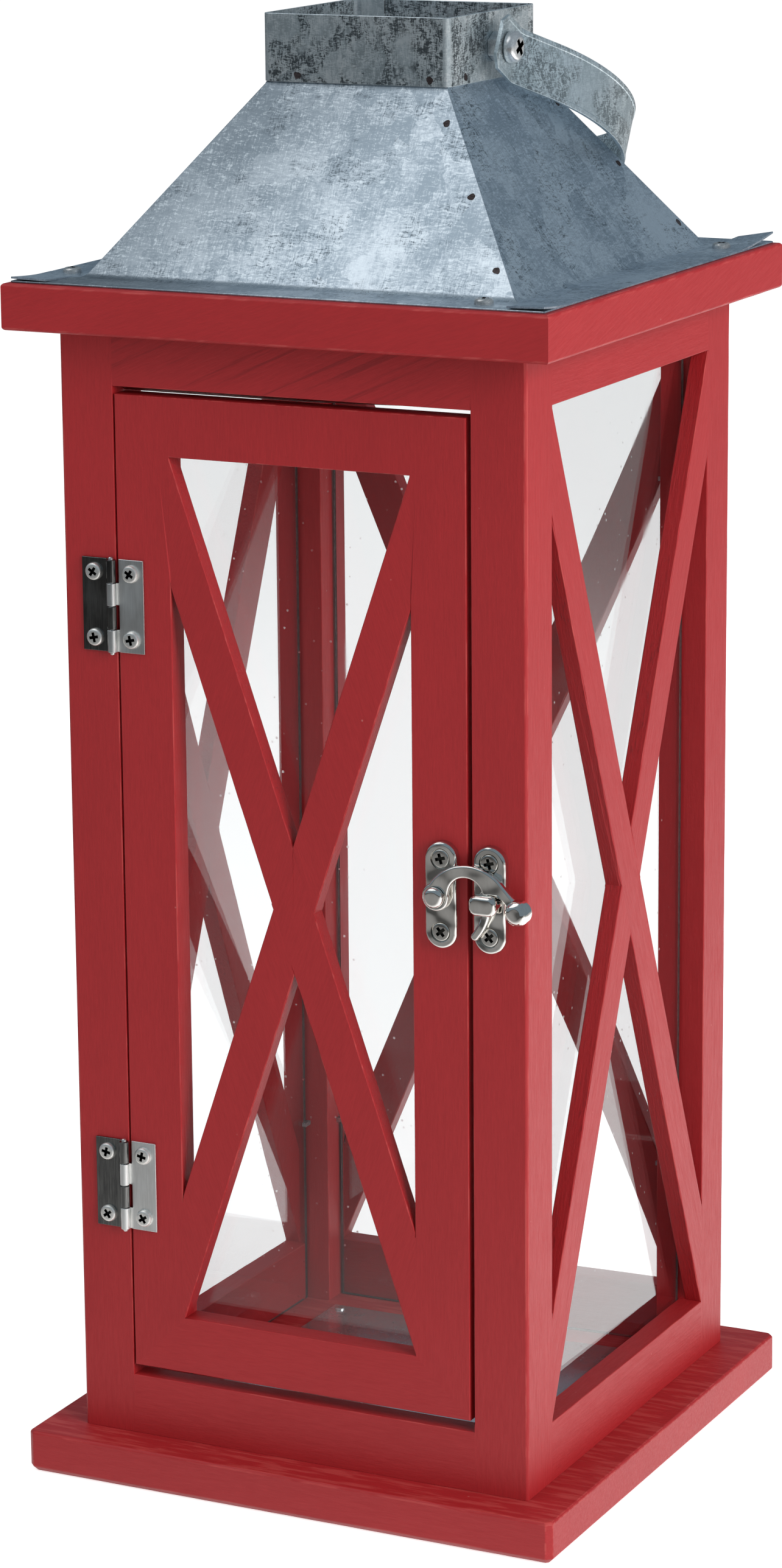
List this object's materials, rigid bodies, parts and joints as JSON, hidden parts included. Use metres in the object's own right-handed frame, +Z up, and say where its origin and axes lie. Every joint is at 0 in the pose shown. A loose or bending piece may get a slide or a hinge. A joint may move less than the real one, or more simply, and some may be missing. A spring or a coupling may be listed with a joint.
{
  "type": "candle lantern",
  "caption": "Tall square candle lantern in red painted wood with X-braced glazed sides, a hinged glazed door with a swing hook, and a galvanised roof with a chimney collar and strap handle.",
  "frame": {"origin": "middle of the underside of the base board", "axes": "+X to the right seen from the door side, -Y towards the door's front, +Z up"},
  "size_m": [0.16, 0.16, 0.4011],
  "materials": {
    "painted_wood": "satin red paint, brushed",
    "glass": "clear",
    "galvanised_sheet": "galvanised, mottled and scuffed",
    "hinge_steel": "brushed",
    "nickel_plate": "polished nickel",
    "zinc_fasteners": "zinc plated"
  },
  "bodies": {
    "frame": {"base_board": "painted_wood", "base_nails": "zinc_fasteners", "candle_plate": "galvanised_sheet", "cap_front_board": "painted_wood", "cap_left_board": "painted_wood", "cap_nails": "zinc_fasteners", "cap_rear_board": "painted_wood", "cap_right_board": "painted_wood", "chimney_collar": "galvanised_sheet", "frame_hardware_screws": "zinc_fasteners", "front_bottom_rail": "painted_wood", "front_left_post": "painted_wood", "front_right_post": "painted_wood", "front_top_rail": "painted_wood", "glazing_sprigs": "zinc_fasteners", "handle_nuts": "zinc_fasteners", "handle_screws": "zinc_fasteners", "hinge_pins": "hinge_steel", "latch_catch_plate": "nickel_plate", "left_bottom_rail": "painted_wood", "left_falling_brace": "painted_wood", "left_pane": "glass", "left_rising_brace": "painted_wood", "left_top_rail": "painted_wood", "lower_hinge_frame_leaf": "hinge_steel", "plate_tacks": "zinc_fasteners", "rear_bottom_rail": "painted_wood", "rear_falling_brace": "painted_wood", "rear_left_post": "painted_wood", "rear_pane": "glass", "rear_right_post": "painted_wood", "rear_rising_brace": "painted_wood", "rear_top_rail": "painted_wood", "right_bottom_rail": "painted_wood", "right_falling_brace": "painted_wood", "right_pane": "glass", "right_rising_brace": "painted_wood", "right_top_rail": "painted_wood", "roof_front_panel": "galvanised_sheet", "roof_left_panel": "galvanised_sheet", "roof_rear_panel": "galvanised_sheet", "roof_right_panel": "galvanised_sheet", "roof_screws": "zinc_fasteners", "upper_hinge_frame_leaf": "hinge_steel"},
    "door": {"door_hinge_stile": "painted_wood", "door_latch_stile": "painted_wood", "door_top_rail": "painted_wood", "door_bottom_rail": "painted_wood", "door_falling_brace": "painted_wood", "door_rising_brace": "painted_wood", "door_pane": "glass", "door_glazing_brads": "zinc_fasteners", "upper_hinge_door_leaf": "hinge_steel", "lower_hinge_door_leaf": "hinge_steel", "door_hardware_screws": "zinc_fasteners", "latch_pivot_plate": "nickel_plate", "latch_rivet": "nickel_plate"},
    "latch": {"latch_arm": "nickel_plate"},
    "handle": {"handle_strap": "galvanised_sheet"}
  },
  "joints": [
    {"name": "door_swing", "type": "hinge", "parent": "frame", "child": "door", "pos_m": [-0.05295, -0.0695, 0.16565], "axis": [0, 0, -1], "range_deg": [0, 160]},
    {"name": "latch_swing", "type": "hinge", "parent": "door", "child": "latch", "pos_m": [0.0435, -0.0716, 0.1778], "axis": [0, -1, 0], "range_deg": [0, 100]},
    {"name": "handle_swing", "type": "hinge", "parent": "frame", "child": "handle", "pos_m": [0, 0, 0.39169], "axis": [1, 0, 0], "range_deg": [0, 236]}
  ]
}
